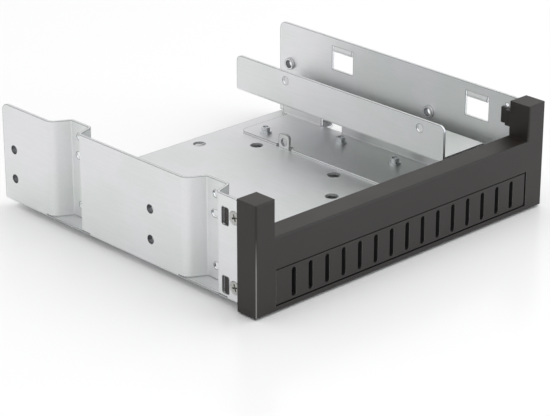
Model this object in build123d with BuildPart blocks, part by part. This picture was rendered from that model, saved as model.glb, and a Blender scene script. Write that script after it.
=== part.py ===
from build123d import *
import os

os.makedirs("parts", exist_ok=True)

# Sizes in mm. X runs across the bay, Y from front to rear, Z up.

# Bezel
bezel_overhang = 1.475
bezel_height = 42.0
bezel_depth = 9.5
bezel_wall = 2.0
bezel_edge = 0.7
post_width = 9.1
notch_depth = 13.9
vent_side = 9.3
vent_height = 13.9
vent_low = 2.0
ledge = 0.8
ledge_thick = 1.4
rim = 1.6

# Vent panel
panel_gap = 0.5
panel_shift = 0.42
panel_raise = 0.12
panel_thick = 2.4
panel_corner = 1.0
slot_count = 15
slot_end = 8.5
slot_width = 2.1
slot_height = 11.0
arm_thick = 1.2
arm_width = 6.0
arm_clear = 0.25
nose = 0.7
nose_length = 1.6

# Tray, bent from one sheet
tray_width = 146.05
tray_length = 133.0
tray_lift = 1.5
floor_setback = 3.5
wall_height = 39.2
sheet = 1.0
floor_bend = 0.3
wall_corner = 3.0

# Side mounting holes with drawn, tapped collars
mount_pitch_y = 79.25
mount_pitch_z = 11.84
mount_rear = 6.35
mount_low = 10.0
mount_hole = 3.3
collar = 4.8
collar_height = 1.2

# Joggles pressed into the left wall
joggle_y = (19.6, 95.0)
joggle_depth = 7.2
joggle_front = 7.9
joggle_rear = 9.3
joggle_strip = 5.4
soft_bend = 3.6
crisp_bend = 1.4
sharp_bend = 1.2
slit = 0.25
strip_hole = 2.9
strip_hole_shift = 0.7
strip_top_z = 33.8
strip_low_z = 6.4
strip_slot_z = 26.2
strip_slot_length = 5.6
strip_slot_shift = 0.2

# Hooks of the bezel, their windows and screws
hook_window_y = 7.55
hook_window_length = 3.5
hook_window_height = 6.6
hook_window_corner = 0.7
hook_z = (5.5, 31.4)
hook_height = 6.2
hook_play = 0.4
hook_root = 5.5
hook_thick = 2.8
hook_skin = 0.8
hook_tip = 1.2
hook_clear = 0.15
catch_low = 0.15
screw_y = 3.0
screw_z = (5.8, 32.0)
screw_head = 4.6
screw_shank = 2.6
screw_clear = 0.15
screw_sink = 0.1
driver_wide = 2.7
driver_thick = 0.7
relief_hole = 1.6
relief_rise = 0.6
relief_shift = 0.4

# Access windows for a driver in the right wall
access_y = (22.4, 96.0)
access_length = 12.0
access_height = 10.2
access_z = 30.75
lip_length = 1.7
lip_root = 0.4
lip_gap = 0.8
lip_lean = 0.4
lip_curl = 0.6
lip_bend = 0.5
lip_thick = 0.8
low_access_height = 8.0
low_access_depth = 5.5

# Drive mounting holes in the floor, set out from the left wall and the bezel
drive_hole = 5.0
wide_edge = 58.9
wide_y = 84.125
wide_pitch = (95.25, 44.45)
narrow_edge = 59.775
narrow_rear = 47.8
narrow_pitch = (61.72, 76.6)

# Inner bracket, bent from one sheet
bracket_front = 10.0
bracket_rear = 8.2
web_gap = 5.025
flange_width = 28.1
flange_setback = 2.7
flange_corner = 3.0
shelf_top = 19.6
shelf_setback = 3.0
rail_shift = 0.8
rail_top = 33.8
rail_corner = 2.5
bracket_bend = 0.5
rail_hole = 3.4
rail_hole_z = 30.0
tab_width = 6.0
tab_top = 7.2
tab_corner = 1.6
tab_hole = 3.2
tab_hole_z = 3.7
notch_width = 1.2
notch_cut = 1.8

# Nuts and screws that hold the bracket to the floor, set out from the web and the bracket's rear end
nut_offsets = ((22.7, 12.3), (8.4, 41.7), (9.0, 72.7))
nut_body = 3.7
nut_height = 2.6
nut_foot = 5.0
nut_foot_height = 0.9
nut_shank = 3.6
nut_bore = 2.4
bolt_head = 5.0
bolt_head_height = 0.8
bolt_head_edge = 0.25
bolt_hole = 3.0
fit_clear = 0.05

# Datums: back face of the bezel and underside of the tray
back_y = bezel_depth - (bezel_depth + tray_length) / 2
plan = Plane(origin=(0, back_y, tray_lift))
side = Plane(origin=(0, back_y, tray_lift), x_dir=(0, 1, 0), z_dir=(1, 0, 0))
face = Plane(origin=(0, back_y, tray_lift), x_dir=(1, 0, 0), z_dir=(0, -1, 0))

half = tray_width / 2
inner = half - sheet
bezel_width = tray_width + 2 * bezel_overhang
vent_width = bezel_width - 2 * vent_side
slot_pitch = (vent_width - 2 * slot_end) / (slot_count - 1)
mount_y = tray_length - mount_rear - mount_pitch_y / 2
mount_z = mount_low + mount_pitch_z / 2
floor_length = tray_length - floor_setback
wide_centre = (wide_edge - half, wide_y)
narrow_centre = (narrow_edge - half, tray_length - narrow_rear)
bracket_length = tray_length - bracket_front - bracket_rear
flange_length = bracket_length - flange_setback
web_right = inner - web_gap
flange_left = web_right - flange_width
rail_left = flange_left + rail_shift
nut_places = [(web_right - x, tray_length - bracket_rear - y) for x, y in nut_offsets]
wall_mid = half - sheet / 2
right_skin = side.offset(half)
left_skin = Plane(origin=(-half, back_y, tray_lift), x_dir=(0, -1, 0), z_dir=(-1, 0, 0))
bezel_mid_z = bezel_height / 2 - tray_lift
vent_z = vent_low + vent_height / 2 - tray_lift

with BuildPart() as tray:
    # Channel: floor and both side walls
    with BuildSketch(face):
        with BuildLine():
            FilletPolyline(
                (-wall_mid, wall_height),
                (-wall_mid, sheet / 2),
                (wall_mid, sheet / 2),
                (wall_mid, wall_height),
                radius=floor_bend + sheet / 2,
            )
        trace(line_width=sheet)
    extrude(amount=-tray_length)

    # Rounded rear corners of the walls
    with BuildSketch(side) as wall_outline:
        with Locations((tray_length / 2, wall_height / 2)):
            Rectangle(tray_length, wall_height)
        rear = wall_outline.vertices().group_by(Axis.Y)[-1]
        fillet(rear, wall_corner)
    extrude(amount=half, both=True, mode=Mode.INTERSECT)

    # The floor stops short of the rear edge of the walls
    with BuildSketch(plan):
        with Locations((0, (floor_length + tray_length) / 2)):
            Rectangle(2 * inner, tray_length - floor_length)
    extrude(amount=sheet + floor_bend, mode=Mode.SUBTRACT)

    # Joggles in the left wall, each parted from the floor by a slit
    joggle_reach = joggle_rear + soft_bend
    strip_mid = joggle_depth - wall_mid
    with BuildSketch(plan.offset(sheet)):
        with Locations(*[(-wall_mid, y) for y in joggle_y]):
            Rectangle(sheet, 2 * joggle_reach)
    extrude(amount=wall_height, mode=Mode.SUBTRACT)
    with BuildSketch(plan.offset(sheet + slit)):
        for y in joggle_y:
            with BuildLine():
                FilletPolyline(
                    (-wall_mid, y - joggle_reach),
                    (-wall_mid, y - joggle_front),
                    (strip_mid, y - joggle_strip),
                    (strip_mid, y + joggle_strip),
                    (-wall_mid, y + joggle_rear),
                    (-wall_mid, y + joggle_reach),
                    radius=[crisp_bend, sharp_bend, sharp_bend, soft_bend],
                )
            trace(line_width=sheet)
    extrude(amount=wall_height - sheet - slit)
    with BuildSketch(plan.offset(sheet)):
        with Locations(*[(-inner, y) for y in joggle_y]):
            Rectangle(2 * sheet, 2 * joggle_reach)
    extrude(amount=slit, mode=Mode.SUBTRACT)

    # Holes and a short slot in each strip
    with BuildSketch(side.offset(strip_mid)):
        with Locations(*[(y + strip_hole_shift, z) for y in joggle_y for z in (strip_low_z, strip_top_z)]):
            Circle(strip_hole / 2)
        with Locations(*[(y + strip_slot_shift, strip_slot_z) for y in joggle_y]):
            SlotOverall(strip_slot_length, strip_hole)
    extrude(amount=sheet, both=True, mode=Mode.SUBTRACT)

    # Collars drawn inwards round the side mounting holes
    with BuildSketch(side.offset(-wall_mid)):
        with Locations((mount_y, mount_z)):
            with GridLocations(mount_pitch_y, mount_pitch_z, 2, 2):
                Circle(collar / 2)
    extrude(amount=sheet / 2 + collar_height)
    with BuildSketch(side.offset(wall_mid)):
        with Locations((mount_y, mount_z)):
            with GridLocations(mount_pitch_y, mount_pitch_z, 2, 2):
                Circle(collar / 2)
    extrude(amount=-sheet / 2 - collar_height)
    with BuildSketch(side):
        with Locations((mount_y, mount_z)):
            with GridLocations(mount_pitch_y, mount_pitch_z, 2, 2):
                Circle(mount_hole / 2)
    extrude(amount=half, both=True, mode=Mode.SUBTRACT)

    # Windows for the hooks of the bezel, in both walls
    with BuildSketch(side) as hook_windows:
        with Locations(*[(hook_window_y, z) for z in hook_z]):
            Rectangle(hook_window_length, hook_window_height)
        fillet(hook_windows.vertices(), hook_window_corner)
    extrude(amount=half, both=True, mode=Mode.SUBTRACT)

    # Relief notch over the upper window of the right wall
    with BuildSketch(side.offset(wall_mid)):
        with Locations((hook_window_y - relief_shift, hook_z[1] + hook_window_height / 2 + relief_rise)):
            Circle(relief_hole / 2)
    extrude(amount=sheet, both=True, mode=Mode.SUBTRACT)

    # Countersunk holes for the bezel screws
    with Locations(right_skin):
        with Locations(*[(screw_y, z) for z in screw_z]):
            CounterSinkHole(screw_shank / 2 + screw_clear, screw_head / 2 + screw_sink + screw_clear, 2 * sheet, 90)
    with Locations(left_skin):
        with Locations(*[(-screw_y, z) for z in screw_z]):
            CounterSinkHole(screw_shank / 2 + screw_clear, screw_head / 2 + screw_sink + screw_clear, 2 * sheet, 90)

    # Upper access windows in the right wall, each with a lip that leans in and curls out at its edge
    with BuildSketch(side.offset(wall_mid)):
        with Locations(*[(y, access_z) for y in access_y]):
            Rectangle(access_length, access_height)
    extrude(amount=sheet, both=True, mode=Mode.SUBTRACT)

    lip_top = access_z + access_height / 2
    lip_width = access_length - 2 * lip_gap
    for y in access_y:
        with BuildSketch(face.offset(lip_width / 2 - y)):
            with BuildLine():
                FilletPolyline(
                    (wall_mid, lip_top + lip_root),
                    (wall_mid, lip_top),
                    (wall_mid - lip_lean, lip_top - lip_length),
                    (wall_mid - lip_lean + lip_curl, lip_top - lip_length - lip_curl),
                    radius=lip_bend,
                )
            trace(line_width=lip_thick)
        extrude(amount=-lip_width)

    # Lower access windows, open through wall and floor
    with BuildSketch(side.offset(half)):
        with Locations(*[(y, low_access_height / 2) for y in access_y]):
            Rectangle(access_length, low_access_height)
    extrude(amount=-low_access_depth, mode=Mode.SUBTRACT)
    with BuildSketch(plan):
        with Locations(*[(half - low_access_depth / 2, y) for y in access_y]):
            Rectangle(low_access_depth, access_length)
    extrude(amount=sheet, mode=Mode.SUBTRACT)

    # Holes in the floor for drives and for the bracket
    with BuildSketch(plan):
        with Locations(wide_centre):
            with GridLocations(*wide_pitch, 2, 2):
                Circle(drive_hole / 2)
        with Locations(narrow_centre):
            with GridLocations(*narrow_pitch, 2, 2):
                Circle(drive_hole / 2)
        with Locations(*nut_places):
            Circle(bolt_hole / 2)
    extrude(amount=sheet, mode=Mode.SUBTRACT)
tray.part.label = "tray"
export_step(tray.part, "parts/tray.step")

with BuildPart() as inner_bracket:
    # C-shaped section with an upright rail along its free edge
    flange_z = sheet * 1.5
    web_mid = web_right - sheet / 2
    shelf_z = shelf_top - sheet / 2
    rail_mid = rail_left + sheet / 2
    with BuildSketch(face.offset(-bracket_front)):
        with BuildLine():
            FilletPolyline(
                (flange_left, flange_z),
                (web_mid, flange_z),
                (web_mid, shelf_z),
                (rail_mid, shelf_z),
                (rail_mid, rail_top),
                radius=bracket_bend + sheet / 2,
            )
        trace(line_width=sheet)
    extrude(amount=-bracket_length)
    rail_ends = inner_bracket.faces().sort_by(Axis.Z)[-1].edges().filter_by(Axis.X)
    fillet(rail_ends, rail_corner)

    # Flange ends ahead of the web, shelf set back at both ends
    bend_start = web_mid - bracket_bend - sheet / 2
    flange_end = bracket_front + flange_length
    bracket_end = bracket_front + bracket_length
    with BuildSketch(plan.offset(sheet)):
        with Locations(((flange_left + bend_start) / 2, (flange_end + bracket_end) / 2)):
            Rectangle(bend_start - flange_left, bracket_end - flange_end)
    extrude(amount=sheet, mode=Mode.SUBTRACT)
    shelf_left = rail_mid + bracket_bend + sheet / 2
    with BuildSketch(plan.offset(shelf_top)):
        for y in (bracket_front + shelf_setback / 2, bracket_end - shelf_setback / 2):
            with Locations(((shelf_left + bend_start) / 2, y)):
                Rectangle(bend_start - shelf_left, shelf_setback)
    extrude(amount=-sheet, mode=Mode.SUBTRACT)
    flange_edge = inner_bracket.faces().sort_by(Axis.X)[0].edges().filter_by(Axis.Z)
    fillet(flange_edge, flange_corner)

    # Upright tabs with a relief notch at each side
    with BuildSketch(plan.offset(sheet)):
        for y in access_y:
            for shift in (-1, 1):
                with Locations((flange_left + notch_cut / 2, y + shift * (tab_width + notch_width) / 2)):
                    Rectangle(notch_cut, notch_width)
    extrude(amount=sheet, mode=Mode.SUBTRACT)
    with BuildSketch(side.offset(flange_left)) as tabs:
        with Locations(*[(y, (sheet + tab_top) / 2) for y in access_y]):
            Rectangle(tab_width, tab_top - sheet)
        fillet(tabs.vertices().group_by(Axis.Z)[-1], tab_corner)
        with Locations(*[(y, tab_hole_z) for y in access_y]):
            Circle(tab_hole / 2, mode=Mode.SUBTRACT)
    extrude(amount=sheet)

    # Holes in the rail, in line with the access windows
    with BuildSketch(side.offset(rail_mid)):
        with Locations(*[(y, rail_hole_z) for y in access_y]):
            Circle(rail_hole / 2)
    extrude(amount=sheet, both=True, mode=Mode.SUBTRACT)

    # Access windows through the web
    with BuildSketch(side.offset(web_mid)):
        with Locations(*[(y, 2 * sheet + low_access_height / 2) for y in access_y]):
            Rectangle(access_length, low_access_height)
    extrude(amount=sheet, both=True, mode=Mode.SUBTRACT)

    # Seats for the clinch nuts
    with BuildSketch(plan.offset(sheet)):
        with Locations(*nut_places):
            Circle(nut_shank / 2 + fit_clear)
    extrude(amount=sheet, mode=Mode.SUBTRACT)
inner_bracket.part.label = "inner_bracket"
export_step(inner_bracket.part, "parts/inner_bracket.step")

with BuildPart() as front_bezel:
    # Notched plate with rounded edges
    notch_width_all = bezel_width - 2 * post_width
    with BuildSketch(face) as outline:
        with Locations((0, bezel_mid_z)):
            Rectangle(bezel_width, bezel_height)
        with Locations((0, bezel_height - tray_lift - notch_depth / 2)):
            Rectangle(notch_width_all, notch_depth, mode=Mode.SUBTRACT)
    extrude(amount=bezel_depth)
    front_edges = front_bezel.faces().sort_by(Axis.Y)[0].edges()
    fillet(front_edges, bezel_edge)

    # Hollow from behind
    with BuildSketch(face):
        with Locations((0, bezel_mid_z)):
            Rectangle(bezel_width - 2 * bezel_wall, bezel_height - 2 * bezel_wall)
        with Locations((0, bezel_height - tray_lift - notch_depth / 2)):
            Rectangle(notch_width_all + 2 * bezel_wall, notch_depth + 2 * bezel_wall, mode=Mode.SUBTRACT)
    extrude(amount=bezel_depth - bezel_wall, mode=Mode.SUBTRACT)

    # Rim round the vent opening, then the stepped opening itself
    rim_back = bezel_depth - panel_thick - ledge_thick
    with BuildSketch(face.offset(rim_back)):
        with Locations((0, vent_z)):
            Rectangle(vent_width + 2 * rim, vent_height + 2 * rim)
    extrude(amount=panel_thick)
    with BuildSketch(face.offset(bezel_depth)):
        with Locations((0, vent_z)):
            Rectangle(vent_width, vent_height)
    extrude(amount=-panel_thick, mode=Mode.SUBTRACT)
    with BuildSketch(face.offset(bezel_depth)):
        with Locations((0, vent_z)):
            Rectangle(vent_width - 2 * ledge, vent_height - 2 * ledge)
    extrude(amount=-bezel_depth, mode=Mode.SUBTRACT)

    # Hooks along the inside of the tray walls, each with a ramped catch for its window
    hook_face = inner - hook_clear
    catch_front = hook_window_y - hook_window_length / 2 + hook_play
    catch_rear = hook_window_y + hook_window_length / 2 - hook_play
    for sign in (-1, 1):
        for z in hook_z:
            with BuildSketch(plan.offset(z - hook_height / 2)):
                with BuildLine():
                    Polyline(
                        (sign * (bezel_width / 2 - bezel_wall), bezel_wall - bezel_depth),
                        (sign * (bezel_width / 2 - bezel_wall), 0),
                        (sign * hook_face, 0),
                        (sign * hook_face, catch_front),
                        (sign * (half - catch_low), catch_front),
                        (sign * (inner + catch_low), catch_rear),
                        (sign * hook_face, catch_rear),
                        (sign * (hook_face - hook_tip), catch_rear),
                        (sign * (hook_face - hook_tip), hook_root),
                        (sign * (hook_face - hook_thick), hook_root),
                        (sign * (hook_face - hook_thick), bezel_wall - bezel_depth),
                        close=True,
                    )
                make_face()
            extrude(amount=hook_height)

    # Blind screw holes in the hooks
    hole_end = hook_face - hook_thick + hook_skin
    with BuildSketch(side.offset(hole_end)):
        with Locations(*[(screw_y, z) for z in screw_z]):
            Circle(screw_shank / 2 + screw_clear)
    extrude(amount=hook_thick, mode=Mode.SUBTRACT)
    with BuildSketch(side.offset(-hole_end)):
        with Locations(*[(screw_y, z) for z in screw_z]):
            Circle(screw_shank / 2 + screw_clear)
    extrude(amount=-hook_thick, mode=Mode.SUBTRACT)
front_bezel.part.label = "front_bezel"
export_step(front_bezel.part, "parts/front_bezel.step")

with BuildPart() as vent_panel:
    # Flush plate with a row of upright slots
    panel_back = bezel_depth - panel_thick
    with BuildSketch(face.offset(panel_back)) as plate:
        with Locations((-panel_shift, vent_z + panel_raise)):
            Rectangle(vent_width - 2 * panel_gap, vent_height - 2 * panel_gap)
        fillet(plate.vertices().sort_by(Axis.Z)[:2].sort_by(Axis.X)[-1], panel_corner)
        with Locations((0, vent_z)):
            with GridLocations(slot_pitch, 0, slot_count, 1):
                SlotOverall(slot_height, slot_width, rotation=90, mode=Mode.SUBTRACT)
    extrude(amount=panel_thick)

    # Snap arms behind the ends, with a nose that catches the ledge
    arm_outer = vent_width / 2 - ledge - arm_clear
    nose_y = fit_clear - rim_back
    for sign in (-1, 1):
        with BuildSketch(plan.offset(vent_z - arm_width / 2)):
            with BuildLine():
                Polyline(
                    (sign * arm_outer, -panel_back),
                    (sign * arm_outer, nose_y),
                    (sign * (arm_outer + nose), nose_y),
                    (sign * (arm_outer + nose), nose_y + nose_length / 4),
                    (sign * arm_outer, nose_y + nose_length),
                    (sign * (arm_outer - arm_thick), nose_y + nose_length),
                    (sign * (arm_outer - arm_thick), -panel_back),
                    close=True,
                )
            make_face()
        extrude(amount=arm_width)
vent_panel.part.label = "vent_panel"
export_step(vent_panel.part, "parts/vent_panel.step")

screw_end = half - hole_end - fit_clear

with BuildPart() as bezel_screws_left:
    # Countersunk heads a little below the wall's face, with a cross recess
    with BuildSketch(left_skin.offset(-screw_sink)):
        with Locations(*[(-screw_y, z) for z in screw_z]):
            Circle(screw_head / 2)
    extrude(amount=-(screw_head - screw_shank) / 2, taper=45)
    with BuildSketch(left_skin.offset(-screw_sink)):
        with Locations(*[(-screw_y, z) for z in screw_z]):
            Circle(screw_shank / 2)
    extrude(amount=screw_sink - screw_end)
    with BuildSketch(left_skin.offset(-screw_sink)):
        with Locations(*[(-screw_y, z) for z in screw_z]):
            Rectangle(driver_thick, driver_wide, rotation=20)
            Rectangle(driver_wide, driver_thick, rotation=20)
    extrude(amount=-driver_wide / 3, taper=12, mode=Mode.SUBTRACT)
bezel_screws_left.part.label = "bezel_screws_left"
export_step(bezel_screws_left.part, "parts/bezel_screws_left.step")

with BuildPart() as bezel_screws_right:
    # Countersunk heads a little below the wall's face, with a cross recess
    with BuildSketch(right_skin.offset(-screw_sink)):
        with Locations(*[(screw_y, z) for z in screw_z]):
            Circle(screw_head / 2)
    extrude(amount=-(screw_head - screw_shank) / 2, taper=45)
    with BuildSketch(right_skin.offset(-screw_sink)):
        with Locations(*[(screw_y, z) for z in screw_z]):
            Circle(screw_shank / 2)
    extrude(amount=screw_sink - screw_end)
    with BuildSketch(right_skin.offset(-screw_sink)):
        with Locations(*[(screw_y, z) for z in screw_z]):
            Rectangle(driver_thick, driver_wide, rotation=-35)
            Rectangle(driver_wide, driver_thick, rotation=-35)
    extrude(amount=-driver_wide / 3, taper=12, mode=Mode.SUBTRACT)
bezel_screws_right.part.label = "bezel_screws_right"
export_step(bezel_screws_right.part, "parts/bezel_screws_right.step")

with BuildPart() as bracket_nuts:
    # Foot on the flange, shank clinched in it
    with BuildSketch(plan.offset(2 * sheet)):
        with Locations(*nut_places):
            Circle(nut_foot / 2)
    extrude(amount=nut_foot_height)
    with BuildSketch(plan.offset(2 * sheet)):
        with Locations(*nut_places):
            Circle(nut_body / 2)
    extrude(amount=nut_height)
    with BuildSketch(plan.offset(2 * sheet)):
        with Locations(*nut_places):
            Circle(nut_shank / 2)
    extrude(amount=-sheet)
    with BuildSketch(plan.offset(sheet)):
        with Locations(*nut_places):
            Circle(nut_bore / 2)
    extrude(amount=nut_height + sheet, mode=Mode.SUBTRACT)
bracket_nuts.part.label = "bracket_nuts"
export_step(bracket_nuts.part, "parts/bracket_nuts.step")

with BuildPart() as bracket_screws:
    # Low heads under the floor
    with BuildSketch(plan):
        with Locations(*nut_places):
            Circle(bolt_head / 2)
    extrude(amount=-bolt_head_height)
    rims = bracket_screws.faces().group_by(Axis.Z)[0].edges()
    chamfer(rims, bolt_head_edge)
    with BuildSketch(plan):
        with Locations(*nut_places):
            Circle(nut_bore / 2 - fit_clear)
    extrude(amount=2 * sheet + nut_height - 0.6)
    with BuildSketch(plan.offset(-bolt_head_height)):
        with Locations(*nut_places):
            Rectangle(driver_thick, driver_wide, rotation=30)
            Rectangle(driver_wide, driver_thick, rotation=30)
    extrude(amount=bolt_head_height * 0.7, mode=Mode.SUBTRACT)
bracket_screws.part.label = "bracket_screws"
export_step(bracket_screws.part, "parts/bracket_screws.step")
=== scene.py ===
import math
import bpy
from bpy.props import FloatProperty, FloatVectorProperty, PointerProperty
from mathutils import Euler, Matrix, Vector


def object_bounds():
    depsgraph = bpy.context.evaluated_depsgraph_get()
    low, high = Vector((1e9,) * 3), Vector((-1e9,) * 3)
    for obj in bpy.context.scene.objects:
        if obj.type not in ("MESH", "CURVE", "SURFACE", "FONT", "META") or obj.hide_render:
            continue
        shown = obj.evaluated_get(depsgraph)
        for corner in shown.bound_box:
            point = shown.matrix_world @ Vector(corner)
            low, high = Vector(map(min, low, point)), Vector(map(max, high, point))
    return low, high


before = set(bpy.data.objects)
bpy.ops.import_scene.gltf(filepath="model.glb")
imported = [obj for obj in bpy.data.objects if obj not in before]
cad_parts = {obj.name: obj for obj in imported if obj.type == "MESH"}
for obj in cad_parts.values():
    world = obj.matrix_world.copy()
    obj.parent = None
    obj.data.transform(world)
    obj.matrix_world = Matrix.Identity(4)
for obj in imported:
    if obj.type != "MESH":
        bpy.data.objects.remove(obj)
cad_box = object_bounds()

bl_info = {
    "name": "Drive bay adapter",
    "version": (1, 0, 0),
    "blender": (4, 5, 0),
    "location": "View3D > Sidebar > Bay Adapter",
    "description": "Finishes and stage for a sheet-metal drive bay adapter",
    "category": "Object",
}

# Roundings and reliefs too small for the solids, made in the shading, in metres
SHEET_EDGE = 0.0001
# The width over which cut edges turn grey and creases get painted shade
EDGE_AND_CREASE_SHADE_WIDTH = 0.0005
SHEET_GRAIN_DEPTH = 0.00003
MOULDED_EDGE = 0.0003
PEBBLE_DEPTH = 0.00005

# Cut edges turn grey, and creases get that grey as painted shade, where the rounded normal turns
# from the face's own: the cosine at its start and in full
EDGE_AND_CREASE_TURN = (0.998, 0.9)

# The rolling grain is drawn out along the tray, by this scale in X, Y and Z
ROLLING_STRETCH = (1, 0.06, 1)

# The bay's four screw holes in each side wall: their middle in Y and Z, half their pitch, and their radius
BAY_HOLES_MIDDLE = (0.025275, 0.01742)
BAY_HOLES_HALF_PITCH = (0.039625, 0.00592)
BAY_HOLE_RADIUS = 0.00167
BAY_HOLE_FADE = 0.0001
BORE_COLOUR = "#6a6b6d"

# Where the vent opening turns to painted shade, as the start and the full place: inwards from the bezel's
# front in Y, and from the opening's middle outwards in X and Z
VENT_MIDDLE_Z = 0.00895
VENT_DEPTH = (0.00025, 0.0005)
VENT_HALF_WIDTH = (0.0655, 0.0653)
VENT_HALF_HEIGHT = (0.0072, 0.0070)
VENT_ROUGHNESS = 0.9

# The moulding's painted edge highlight: how far the edge normal leans to the left and the front,
# and how high up it goes
HIGHLIGHT_LEAN = (-0.35, -0.6)
HIGHLIGHT_HEIGHT = (0.030, 0.018)

# The stage, in metres: where the lamps stand, what they point at, and their width and height
SOFTBOX = {"place": (0.55, -0.55, 1.4), "aim": (0, 0, 0), "size": (2.6, 2.6)}
FILL = {"place": (0.5, -0.75, 0.15), "aim": (-0.03, -0.07, 0.02), "size": (0.35, 0.2)}
FILL_COLOUR = "#e2ecff"
TABLE_HALF_WIDTH = 3.0

# The camera looks down by the photograph's angle and turns to the right of straight ahead, in degrees
CAMERA_PLACE = (-0.54086, -0.57424, 0.33066)
CAMERA_DOWN = 22.856
CAMERA_TURN = 43.371
SENSOR_MM = 36
CAMERA_CLIP = (0.01, 20)


def linear(hex_colour):
    """An sRGB hex colour as linear red, green and blue."""
    parts = [int(hex_colour[i:i + 2], 16) / 255 for i in (1, 3, 5)]
    return tuple(c / 12.92 if c <= 0.04045 else ((c + 0.055) / 1.055) ** 2.4 for c in parts)


def per_metre(size_mm):
    """The scale at which a pattern repeats about every size_mm."""
    return 1000.0 / size_mm


def add_node(tree, kind, inputs=None, **settings):
    """Adds a node, sets its properties and fills its sockets with values or links."""
    node = tree.nodes.new(kind)
    for name, value in settings.items():
        setattr(node, name, value)
    for name, value in (inputs or {}).items():
        socket = node.inputs[name]
        if isinstance(value, bpy.types.NodeSocket):
            tree.links.new(value, socket)
        else:
            socket.default_value = value
    return node


class SheetSteel(bpy.types.PropertyGroup):
    colour: FloatVectorProperty(
        name="Zinc colour", description="Colour of the zinc plating",
        default=linear("#ebebed"), subtype="COLOR", min=0, max=1)
    passivate: FloatVectorProperty(
        name="Passivate colour", description="Colour of the thin passivated patches on the zinc",
        default=linear("#e6e9e7"), subtype="COLOR", min=0, max=1)
    # Grey of the cut edges; the same colour is painted as shade along creases
    cut_edge_and_crease_shade: FloatVectorProperty(
        name="Sheared edge colour",
        description="Colour of the cut edges, where the zinc is drawn thin over the steel",
        default=linear("#7c7e81"), subtype="COLOR", min=0, max=1)
    roughness: FloatProperty(
        name="Roughness", description="Gloss of the plated sheet, lower is shinier",
        default=0.48, min=0, max=1, subtype="FACTOR")
    grain_mm: FloatProperty(
        name="Grain", description="Width of the rolling grain in millimetres",
        default=0.7, min=0.05, max=5)
    cloud_mm: FloatProperty(
        name="Clouding", description="Size of the plating's cloudy patches in millimetres",
        default=38, min=2, max=100)


class BezelPlastic(bpy.types.PropertyGroup):
    colour: FloatVectorProperty(
        name="Plastic colour", description="Colour of the moulded plastic",
        default=linear("#221e1a"), subtype="COLOR", min=0, max=1)
    # Painted highlight: a pale colour on the low edges that face the front left, standing in for a glint
    painted_highlight: FloatVectorProperty(
        name="Edge colour", description="Colour of the moulding's edges, where the texture is rubbed bright",
        default=linear("#8a8a88"), subtype="COLOR", min=0, max=1)
    # Painted shade: near black down in the vent's slots and gaps, standing in for the shade that falls there
    painted_slot_shade: FloatVectorProperty(
        name="Slot colour", description="Colour down in the slots and gaps, where dust and shade gather",
        default=linear("#050505"), subtype="COLOR", min=0, max=1)
    roughness: FloatProperty(
        name="Roughness", description="Gloss of the textured face, lower is shinier",
        default=0.4, min=0, max=1, subtype="FACTOR")
    grain_mm: FloatProperty(
        name="Texture", description="Size of the mould texture in millimetres",
        default=0.35, min=0.05, max=2)


class StageLook(bpy.types.PropertyGroup):
    floor_colour: FloatVectorProperty(
        name="Floor colour", description="Colour of the table the part lies on",
        default=linear("#fdfdfd"), subtype="COLOR", min=0, max=1)
    lens_mm: FloatProperty(
        name="Lens", description="Focal length on a 36 mm wide sensor",
        default=145.7, min=20, max=300)
    softbox_watts: FloatProperty(
        name="Softbox", description="Power of the large lamp over the part",
        default=13.0, min=0, max=100, unit="POWER")
    fill_watts: FloatProperty(
        name="Fill", description="Power of the low lamp at the front right",
        default=0.8, min=0, max=100, unit="POWER")
    sky_above: FloatProperty(
        name="Studio above", description="Brightness that shiny surfaces see overhead",
        default=0.7, min=0, max=2)
    sky_low: FloatProperty(
        name="Studio low", description="Brightness that shiny surfaces see at the height of the part",
        default=0.84, min=0, max=2)
    ambient: FloatProperty(
        name="Ambient", description="Brightness of the surroundings on matt surfaces",
        default=0.8, min=0, max=2)
    table_gap_mm: FloatProperty(
        name="Table gap",
        description="Air between the part and the table in millimetres, where the contact shadow sits",
        default=0.7, min=0, max=5)


def ramp(tree, value, start, end):
    """A factor that rises from 0 to 1 while value goes from start to end."""
    return add_node(tree, "ShaderNodeMapRange", {
        "Value": value, "From Min": start, "From Max": end}).outputs["Result"]


def product(tree, *factors):
    """The factors multiplied together."""
    total = factors[0]
    for factor in factors[1:]:
        step = add_node(tree, "ShaderNodeMath", {0: total, 1: factor}, operation="MULTIPLY")
        total = step.outputs["Value"]
    return total


def distance(tree, value, middle):
    """How far value lies from the middle, to either side."""
    shift = add_node(tree, "ShaderNodeMath", {0: value, 1: middle}, operation="SUBTRACT")
    size = add_node(tree, "ShaderNodeMath", {0: shift.outputs["Value"]}, operation="ABSOLUTE")
    return size.outputs["Value"]


def new_material(name):
    """An empty node material with its output and its shader."""
    material = bpy.data.materials.new(name)
    material.use_nodes = True
    tree = material.node_tree
    tree.nodes.clear()
    shader = add_node(tree, "ShaderNodeBsdfPrincipled")
    add_node(tree, "ShaderNodeOutputMaterial", {"Surface": shader.outputs["BSDF"]})
    return material, tree, shader


def dress(node, material):
    """Gives a CAD node its finish."""
    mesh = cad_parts[node].data
    mesh.materials.clear()
    mesh.materials.append(material)


def in_bay_holes(tree, place):
    """A factor that is 1 inside the bay's four holes through each side wall, and 0 beside them."""
    at = add_node(tree, "ShaderNodeSeparateXYZ", {"Vector": place})
    across = [distance(tree, distance(tree, at.outputs[axis], centre), pitch)
              for axis, centre, pitch in zip("YZ", BAY_HOLES_MIDDLE, BAY_HOLES_HALF_PITCH)]
    away = add_node(tree, "ShaderNodeCombineXYZ", {"X": across[0], "Y": across[1]})
    length = add_node(tree, "ShaderNodeVectorMath", {0: away.outputs["Vector"]}, operation="LENGTH")
    return ramp(tree, length.outputs["Value"], BAY_HOLE_RADIUS + BAY_HOLE_FADE, BAY_HOLE_RADIUS)


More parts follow.
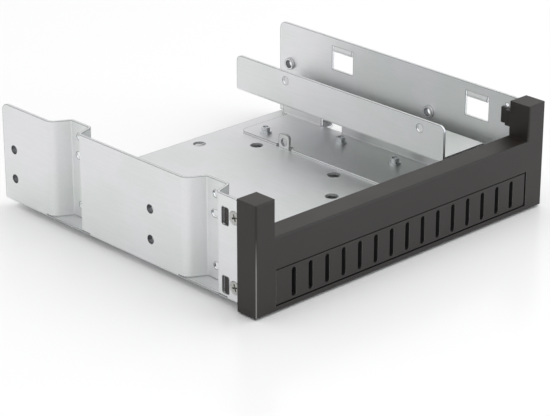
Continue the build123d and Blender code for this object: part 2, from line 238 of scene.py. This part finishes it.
def zinc_plated_sheet(name, look, bay_holes=False):
    """Electro-galvanised steel sheet, cold rolled and shear-cut.

    The eye sees a pale satin metal with a fine grain along the tray, faint clouds and dull grey cut edges.
    The same grey is painted as shade along creases."""
    material, tree, shader = new_material(name)
    place = add_node(tree, "ShaderNodeTexCoord").outputs["Object"]
    drawn = add_node(tree, "ShaderNodeMapping", {"Vector": place, "Scale": ROLLING_STRETCH})
    grain = add_node(tree, "ShaderNodeTexNoise", {
        "Vector": drawn.outputs["Vector"], "Scale": per_metre(look.grain_mm), "Detail": 3.0})
    clouds = add_node(tree, "ShaderNodeTexNoise", {
        "Vector": place, "Scale": per_metre(look.cloud_mm), "Detail": 4.0, "Roughness": 0.6})
    patches = add_node(tree, "ShaderNodeMapRange", {
        "Value": clouds.outputs["Fac"], "From Min": 0.42, "From Max": 0.62},
        interpolation_type="SMOOTHSTEP")
    zinc = add_node(tree, "ShaderNodeMix", {
        "Factor": patches.outputs["Result"],
        "A": (*look.colour, 1), "B": (*look.passivate, 1)}, data_type="RGBA")
    streaks = add_node(tree, "ShaderNodeMapRange", {
        "Value": grain.outputs["Fac"], "From Min": 0.35, "From Max": 0.65,
        "To Min": 0.985, "To Max": 1.01})
    tint = add_node(tree, "ShaderNodeMix", {
        "Factor": 1.0, "A": zinc.outputs["Result"], "B": streaks.outputs["Result"]},
        data_type="RGBA", blend_type="MULTIPLY")
    gloss = add_node(tree, "ShaderNodeMapRange", {
        "Value": grain.outputs["Fac"],
        "To Min": look.roughness - 0.03, "To Max": look.roughness + 0.03})
    tree.links.new(gloss.outputs["Result"], shader.inputs["Roughness"])
    bevel = add_node(tree, "ShaderNodeBevel", {"Radius": SHEET_EDGE}, samples=4)
    edge_and_crease_bevel = add_node(tree, "ShaderNodeBevel", {"Radius": EDGE_AND_CREASE_SHADE_WIDTH}, samples=6)
    flat = add_node(tree, "ShaderNodeNewGeometry")
    turned = add_node(tree, "ShaderNodeVectorMath", {
        0: flat.outputs["Normal"], 1: edge_and_crease_bevel.outputs["Normal"]}, operation="DOT_PRODUCT")
    # Cut edges turn grey here, and concave creases get the same grey as painted shade
    cut = add_node(tree, "ShaderNodeMix", {
        "Factor": ramp(tree, turned.outputs["Value"], *EDGE_AND_CREASE_TURN),
        "A": tint.outputs["Result"], "B": (*look.cut_edge_and_crease_shade, 1)}, data_type="RGBA")
    base = cut.outputs["Result"]
    if bay_holes:
        base = add_node(tree, "ShaderNodeMix", {
            "Factor": in_bay_holes(tree, place), "A": base, "B": (*linear(BORE_COLOUR), 1)},
            data_type="RGBA").outputs["Result"]
    tree.links.new(base, shader.inputs["Base Color"])
    relief = add_node(tree, "ShaderNodeBump", {
        "Height": grain.outputs["Fac"], "Strength": 0.06, "Distance": SHEET_GRAIN_DEPTH,
        "Normal": bevel.outputs["Normal"]})
    tree.links.new(relief.outputs["Normal"], shader.inputs["Normal"])
    shader.inputs["Metallic"].default_value = 1.0
    return material


def moulded_abs(name, look):
    """Black ABS, injection moulded in a spark-eroded tool.

    The eye sees a dark warm grey with a fine matt pebble. A pale painted highlight lies on the low edges that
    face the front left, and painted shade near black lies down in the vent's slots and gaps."""
    material, tree, shader = new_material(name)
    place = add_node(tree, "ShaderNodeTexCoord").outputs["Object"]
    pebble = add_node(tree, "ShaderNodeTexNoise", {
        "Vector": place, "Scale": per_metre(look.grain_mm), "Detail": 2.0})
    handling = add_node(tree, "ShaderNodeTexNoise", {
        "Vector": place, "Scale": per_metre(18), "Detail": 3.0})
    gloss = add_node(tree, "ShaderNodeMapRange", {
        "Value": handling.outputs["Fac"],
        "To Min": look.roughness - 0.05, "To Max": look.roughness + 0.07})
    bevel = add_node(tree, "ShaderNodeBevel", {"Radius": MOULDED_EDGE}, samples=4)
    relief = add_node(tree, "ShaderNodeBump", {
        "Height": pebble.outputs["Fac"], "Strength": 0.1, "Distance": PEBBLE_DEPTH,
        "Normal": bevel.outputs["Normal"]})
    tree.links.new(relief.outputs["Normal"], shader.inputs["Normal"])

    # A rounded edge has a normal between two axes. The low ones that face the front left get a pale painted
    # highlight.
    turned = add_node(tree, "ShaderNodeSeparateXYZ", {"Vector": bevel.outputs["Normal"]})
    at = add_node(tree, "ShaderNodeSeparateXYZ", {"Vector": place})
    edge = product(
        tree,
        ramp(tree, turned.outputs["X"], *HIGHLIGHT_LEAN),
        ramp(tree, turned.outputs["Y"], *HIGHLIGHT_LEAN),
        ramp(tree, at.outputs["Z"], *HIGHLIGHT_HEIGHT))
    painted_highlight = add_node(tree, "ShaderNodeMix", {
        "Factor": edge, "A": (*look.colour, 1), "B": (*look.painted_highlight, 1)}, data_type="RGBA")

    # Inside the vent opening, a little way in from the front, the slots and gaps are rough and painted near
    # black as shade.
    sunk = product(
        tree,
        ramp(tree, at.outputs["Y"], *(cad_box[0][1] + depth for depth in VENT_DEPTH)),
        ramp(tree, distance(tree, at.outputs["X"], 0.0), *VENT_HALF_WIDTH),
        ramp(tree, distance(tree, at.outputs["Z"], VENT_MIDDLE_Z), *VENT_HALF_HEIGHT))
    tint = add_node(tree, "ShaderNodeMix", {
        "Factor": sunk, "A": painted_highlight.outputs["Result"], "B": (*look.painted_slot_shade, 1)}, data_type="RGBA")
    dull = add_node(tree, "ShaderNodeMix", {
        "Factor": sunk, "A": gloss.outputs["Result"], "B": VENT_ROUGHNESS}, data_type="FLOAT")
    tree.links.new(tint.outputs["Result"], shader.inputs["Base Color"])
    tree.links.new(dull.outputs["Result"], shader.inputs["Roughness"])
    shader.inputs["IOR"].default_value = 1.45
    return material


def bright_zinc_screw(name, dark, light):
    """Screw steel, headed or turned and zinc plated, which the eye sees as shinier than the sheet."""
    material, tree, shader = new_material(name)
    place = add_node(tree, "ShaderNodeTexCoord").outputs["Object"]
    turning = add_node(tree, "ShaderNodeTexNoise", {
        "Vector": place, "Scale": per_metre(0.6), "Detail": 2.0})
    gloss = add_node(tree, "ShaderNodeMapRange", {
        "Value": turning.outputs["Fac"], "To Min": 0.22, "To Max": 0.36})
    tree.links.new(gloss.outputs["Result"], shader.inputs["Roughness"])
    tint = add_node(tree, "ShaderNodeMix", {
        "Factor": turning.outputs["Fac"],
        "A": (*linear(dark), 1), "B": (*linear(light), 1)}, data_type="RGBA")
    tree.links.new(tint.outputs["Result"], shader.inputs["Base Color"])
    shader.inputs["Metallic"].default_value = 1.0
    return material


class BAY_OT_tray(bpy.types.Operator):
    """Finish the bent tray with its rolling grain running front to back."""
    bl_idname = "bay.tray"
    bl_label = "Tray"

    def execute(self, context):
        dress("tray", zinc_plated_sheet(
            "zinc-plated sheet steel, tray", context.scene.sheet_steel, bay_holes=True))
        return {"FINISHED"}


class BAY_OT_bracket(bpy.types.Operator):
    """Finish the inner bracket."""
    bl_idname = "bay.bracket"
    bl_label = "Inner bracket"

    def execute(self, context):
        dress("inner_bracket", zinc_plated_sheet(
            "zinc-plated sheet steel, bracket", context.scene.sheet_steel))
        return {"FINISHED"}


class BAY_OT_bezel(bpy.types.Operator):
    """Finish the front bezel and its vent panel."""
    bl_idname = "bay.bezel"
    bl_label = "Bezel and vent panel"

    def execute(self, context):
        plastic = moulded_abs("moulded black ABS", context.scene.bezel_plastic)
        for node in ("front_bezel", "vent_panel"):
            dress(node, plastic)
        return {"FINISHED"}


class BAY_OT_fasteners(bpy.types.Operator):
    """Finish the screws and clinch nuts."""
    bl_idname = "bay.fasteners"
    bl_label = "Screws and nuts"

    def execute(self, context):
        handled = bright_zinc_screw("zinc-plated screw steel, handled", "#a9a9a6", "#c4c4c0")
        for node in ("bezel_screws_left", "bezel_screws_right"):
            dress(node, handled)
        clean = bright_zinc_screw("bright zinc-plated nut steel", "#d2d5d8", "#e6e8ea")
        for node in ("bracket_nuts", "bracket_screws"):
            dress(node, clean)
        return {"FINISHED"}


def lamp(name, place, aim, size, watts, colour=(1, 1, 1)):
    """Sets up a soft rectangular lamp that points at aim."""
    light = bpy.data.lights.new(name, "AREA")
    light.shape = "RECTANGLE"
    light.size, light.size_y = size
    light.energy = watts
    light.color = colour
    body = bpy.data.objects.new(name, light)
    bpy.context.scene.collection.objects.link(body)
    body.location = place
    body.rotation_euler = (Vector(aim) - Vector(place)).to_track_quat("-Z", "Y").to_euler()


class BAY_OT_stage(bpy.types.Operator):
    """Set the pale table, the soft lamps, the white surroundings and the camera."""
    bl_idname = "bay.stage"
    bl_label = "Stage"

    def execute(self, context):
        look = context.scene.stage_look
        self.table(look)
        self.surroundings(context.scene, look)
        lamp("softbox above", **SOFTBOX, watts=look.softbox_watts)
        lamp("fill at the front right", **FILL, watts=look.fill_watts, colour=linear(FILL_COLOUR))
        self.camera(context.scene, look)
        context.scene.view_settings.view_transform = "Standard"
        return {"FINISHED"}

    def table(self, look):
        """A wide table in smooth white laminate, which keeps the part's shadow and a faint mirror image."""
        z = -look.table_gap_mm / 1000
        near, far = -TABLE_HALF_WIDTH, TABLE_HALF_WIDTH
        mesh = bpy.data.meshes.new("table")
        mesh.from_pydata([(near, near, z), (far, near, z), (far, far, z), (near, far, z)], [], [(0, 1, 2, 3)])
        body = bpy.data.objects.new("table", mesh)
        bpy.context.scene.collection.objects.link(body)
        material, _, shader = new_material("white table laminate")
        shader.inputs["Base Color"].default_value = (*look.floor_colour, 1)
        shader.inputs["Roughness"].default_value = 0.2
        shader.inputs["Specular IOR Level"].default_value = 0.25
        mesh.materials.append(material)

    def surroundings(self, scene, look):
        """White behind the part.

        What shiny surfaces reflect is dimmer overhead, where the softbox adds its own light."""
        world = bpy.data.worlds.new("white studio")
        scene.world = world
        world.use_nodes = True
        tree = world.node_tree
        tree.nodes.clear()
        seen = add_node(tree, "ShaderNodeLightPath")
        either = add_node(tree, "ShaderNodeMath", {
            0: seen.outputs["Is Glossy Ray"], 1: seen.outputs["Is Transmission Ray"]},
            operation="MAXIMUM")
        height = add_node(tree, "ShaderNodeSeparateXYZ", {
            "Vector": add_node(tree, "ShaderNodeTexCoord").outputs["Generated"]})
        sky = add_node(tree, "ShaderNodeMapRange", {
            "Value": height.outputs["Z"], "From Min": 0.35, "From Max": 0.9,
            "To Min": look.sky_low, "To Max": look.sky_above}, interpolation_type="SMOOTHSTEP")
        shiny = add_node(tree, "ShaderNodeMix", {
            "Factor": either.outputs["Value"], "A": look.ambient, "B": sky.outputs["Result"]},
            data_type="FLOAT")
        level = add_node(tree, "ShaderNodeMix", {
            "Factor": seen.outputs["Is Camera Ray"], "A": shiny.outputs["Result"], "B": 1.0},
            data_type="FLOAT")
        back = add_node(tree, "ShaderNodeBackground", {
            "Color": (1, 1, 1, 1), "Strength": level.outputs["Result"]})
        add_node(tree, "ShaderNodeOutputWorld", {"Surface": back.outputs["Background"]})

    def camera(self, scene, look):
        """The camera stands at the left of the front, a little above the part."""
        data = bpy.data.cameras.new("camera")
        data.lens = look.lens_mm
        data.sensor_width = SENSOR_MM
        data.clip_start, data.clip_end = CAMERA_CLIP
        body = bpy.data.objects.new("camera", data)
        scene.collection.objects.link(body)
        body.location = CAMERA_PLACE
        tilt, turn = math.radians(90 - CAMERA_DOWN), math.radians(-CAMERA_TURN)
        body.rotation_euler = Euler((tilt, 0, turn))
        scene.camera = body


class BAY_PT_panel(bpy.types.Panel):
    """Lists the pieces of the bay adapter and their finishes."""
    bl_idname = "BAY_PT_panel"
    bl_label = "Bay Adapter"
    bl_space_type = "VIEW_3D"
    bl_region_type = "UI"
    bl_category = "Bay Adapter"

    def draw(self, context):
        for name in ("sheet_steel", "bezel_plastic", "stage_look"):
            box = self.layout.box()
            settings = getattr(context.scene, name)
            for prop in settings.__annotations__:
                box.prop(settings, prop)
        for operator in MAKING_ORDER:
            self.layout.operator(operator)


MAKING_ORDER = ("bay.tray", "bay.bracket", "bay.bezel", "bay.fasteners", "bay.stage")
GROUPS = {"sheet_steel": SheetSteel, "bezel_plastic": BezelPlastic, "stage_look": StageLook}
CLASSES = (
    *GROUPS.values(), BAY_OT_tray, BAY_OT_bracket, BAY_OT_bezel, BAY_OT_fasteners, BAY_OT_stage, BAY_PT_panel)


def register():
    for cls in CLASSES:
        bpy.utils.register_class(cls)
    for name, group in GROUPS.items():
        setattr(bpy.types.Scene, name, PointerProperty(type=group))


def unregister():
    for name in GROUPS:
        delattr(bpy.types.Scene, name)
    for cls in reversed(CLASSES):
        bpy.utils.unregister_class(cls)


def main():
    register()
    bpy.ops.bay.tray()
    bpy.ops.bay.bracket()
    bpy.ops.bay.bezel()
    bpy.ops.bay.fasteners()
    bpy.ops.bay.stage()


if __name__ == "__main__":
    main()
